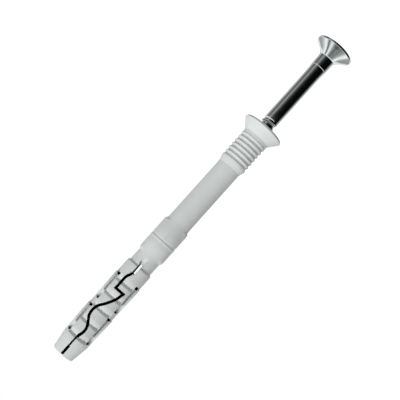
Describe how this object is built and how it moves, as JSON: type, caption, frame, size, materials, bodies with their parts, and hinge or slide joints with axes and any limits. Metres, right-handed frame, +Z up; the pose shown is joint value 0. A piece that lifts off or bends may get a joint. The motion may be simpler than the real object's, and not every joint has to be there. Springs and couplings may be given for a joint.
{
  "type": "nylon hammer fixing",
  "caption": "Hammer fixing with a ribbed, countersunk nylon plug whose wavy slit lets it spread, and a zinc-plated screw nail standing ready to be driven in.",
  "frame": {"origin": "on the ground plane, at the middle of the flat top of the nail's head, on which the fixing stands upside down", "axes": "+Z up along the fixing from the nail's head to the plug's tip, -Y out of the front slit, +X to the right seen from the front"},
  "size_m": [0.0122, 0.0122, 0.1095],
  "materials": {
    "grey_nylon": "moulded, satin, pale grey",
    "bright_zinc": "bright zinc plate on steel, clear passivated"
  },
  "bodies": {
    "sleeve": {"plug_sleeve": "grey_nylon"},
    "nail": {"nail_screw": "bright_zinc"}
  },
  "joints": [
    {"name": "nail_drive", "type": "slide", "parent": "sleeve", "child": "nail", "axis": [0, 0, 1], "range_m": [0, 0.02905]}
  ]
}
